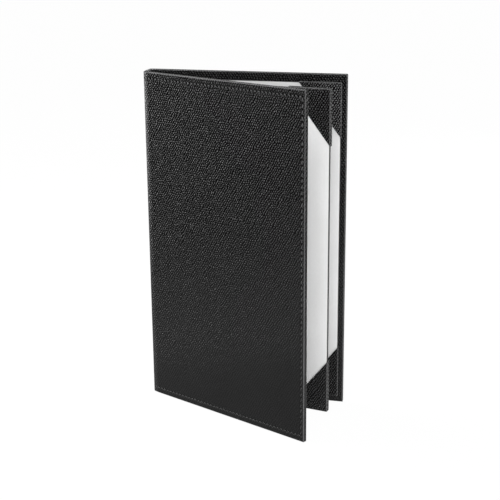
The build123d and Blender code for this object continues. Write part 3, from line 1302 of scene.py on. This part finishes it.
def makeTab():
    low, high = spinePlace.box("leaf_tab")
    axisU = leafAxis[0] - hingeX
    axis = np.array([axisU, middleD])
    half = (leafBoardHigh[1] - leafBoardLow[1]) / 2
    footHalf = middleD - low[1]
    footU = low[0] + tabLook["foot"]
    bladeU = leafBoardLow[0]
    above = [
        (bladeU, half, tabLook["round"]),
        (footU, half, tabLook["fillet"]),
        (footU, footHalf, tabLook["round"]),
        (low[0], footHalf, tabLook["glued"]),
    ]
    rows = above + [(u, -d, radius) for u, d, radius in above[::-1]]
    outline = roundOutline([(u, middleD + d) for u, d, radius in rows], [radius for u, d, radius in rows])
    start, end = (axisU - half, middleD), (axisU + half, middleD)

    def turn(flat):
        return turned(flat, axis, -leafDegrees * eased(flat, start, end))

    outline = divided(outline, tabLook["step"])
    tab = makeColumn("leafTab", outline, low[2], high[2], "leaf_tab", turn)
    restStart, restEnd = spinePlace.out([[*start, 0], [*end, 0]])
    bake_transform(tab)


makeStrip("back")
makeStrip("front")
makeTab()
print("made the inner strips and the tab")


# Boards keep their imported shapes

boardFinish = {
    "back_board": greyBoard,
    "front_board": greyBoard,
    "back_panel_board": greyBoard,
    "front_panel_board": greyBoard,
    "leaf_board": greyBoard,
    "spine_board": greyBoard,
    "back_infill": blackBoard,
    "front_infill": blackBoard,
}
for node, finish in boardFinish.items():
    for slot in frame["nodes"][node].material_slots:
        slot.material = finish
print("finished the boards")


# Floor, world and lamps

stageLook = {"floor": 0.82, "whiteShare": 0.98, "worldFill": 0.5, "floorSize": 24}
lamps = {
    "keyLamp": {
        "place": (-1.2, -0.45, 0.5),
        "aim": (-0.05, -0.05, 0.3),
        "size": (0.5, 0.4),
        "radiance": 31.0,
    },
    "rimLamp": {
        "place": (-1.15, 0.25, 0.14),
        "aim": (-0.11, 0, 0.3),
        "size": (0.3, 0.2),
        "radiance": 23.0,
    },
    "frontLamp": {
        "place": (-0.35, -1.2, 0.25),
        "aim": (0.05, 0, 0.25),
        "size": (0.3, 0.3),
        "radiance": 7.0,
    },
    "edgeLamp": {
        "place": (0.68, -1.1, 0.13),
        "aim": (0.09, -0.1, 0.25),
        "size": (0.35, 0.22),
        "radiance": 32.0,
    },
    "rightLamp": {
        "place": (1.3, -0.3, 0.2),
        "aim": (0.1, 0, 0.2),
        "size": (0.45, 0.3),
        "radiance": 7.0,
    },
    "highLamp": {
        "place": (0.1, -0.95, 1.35),
        "aim": (0.05, 0, 0.35),
        "size": (0.35, 0.35),
        "radiance": 28.0,
    },
    "backLamp": {
        "place": (0.7, 1.4, 0.5),
        "aim": (0, 0, 0.25),
        "size": (0.9, 0.5),
        "radiance": 7.0,
    },
    "topLamp": {
        "place": (-0.85, 0.25, 1.25),
        "aim": (0, 0, 0.35),
        "size": (0.6, 0.5),
        "radiance": 18.0,
    },
}


def seesWhite(sheet):
    # 1 for what the camera sees straight, in a gloss or through glass
    camera, gloss, glass = (
        sheet.node("ShaderNodeLightPath", output=f"Is {kind} Ray")
        for kind in ("Camera", "Glossy", "Transmission")
    )
    return sheet.node("ShaderNodeClamp", {}, {"Value": camera + gloss + glass})


def makeFloor(look):
    mesh = bpy.data.meshes.new("floor")
    half = look["floorSize"] / 2
    corners = [(-half, -half, 0), (half, -half, 0), (half, half, 0), (-half, half, 0)]
    mesh.from_pydata(corners, [], [(0, 1, 2, 3)])
    floor = addObject("floor", mesh)
    material, sheet = startMaterial("paleFloor")
    matt = sheet.node("ShaderNodeBsdfDiffuse", {}, {"Color": rgb(look["floor"])})
    white = sheet.node("ShaderNodeEmission", {}, {"Color": rgb(1.0), "Strength": 1.0})
    share = seesWhite(sheet) * look["whiteShare"]
    shader = sheet.node("ShaderNodeMixShader", {}, {0: share, 1: matt, 2: white})
    sheet.node("ShaderNodeOutputMaterial", {}, {"Surface": shader})
    mesh.materials.append(material)


def makeWorld(look):
    world = bpy.data.worlds.new("studio")
    bpy.context.scene.world = world
    world.use_nodes = True
    sheet = Sheet(world.node_tree)
    strength = seesWhite(sheet) * (1 - look["worldFill"]) + look["worldFill"]
    light = sheet.node("ShaderNodeBackground", {}, {"Color": rgb(1.0), "Strength": strength})
    sheet.node("ShaderNodeOutputWorld", {}, {"Surface": light})


def makeLamp(name, look):
    data = bpy.data.lights.new(name, "AREA")
    data.shape = "RECTANGLE"
    data.size, data.size_y = look["size"]
    data.energy = look["radiance"] * math.pi * data.size * data.size_y
    lamp = addObject(name, data)
    place, aim = Vector(look["place"]), Vector(look["aim"])
    lamp.location = place
    lamp.rotation_euler = (aim - place).to_track_quat("-Z", "Y").to_euler()


makeFloor(stageLook)
makeWorld(stageLook)
for name, look in lamps.items():
    makeLamp(name, look)
bpy.context.scene.view_settings.view_transform = "Standard"
print("set the stage")
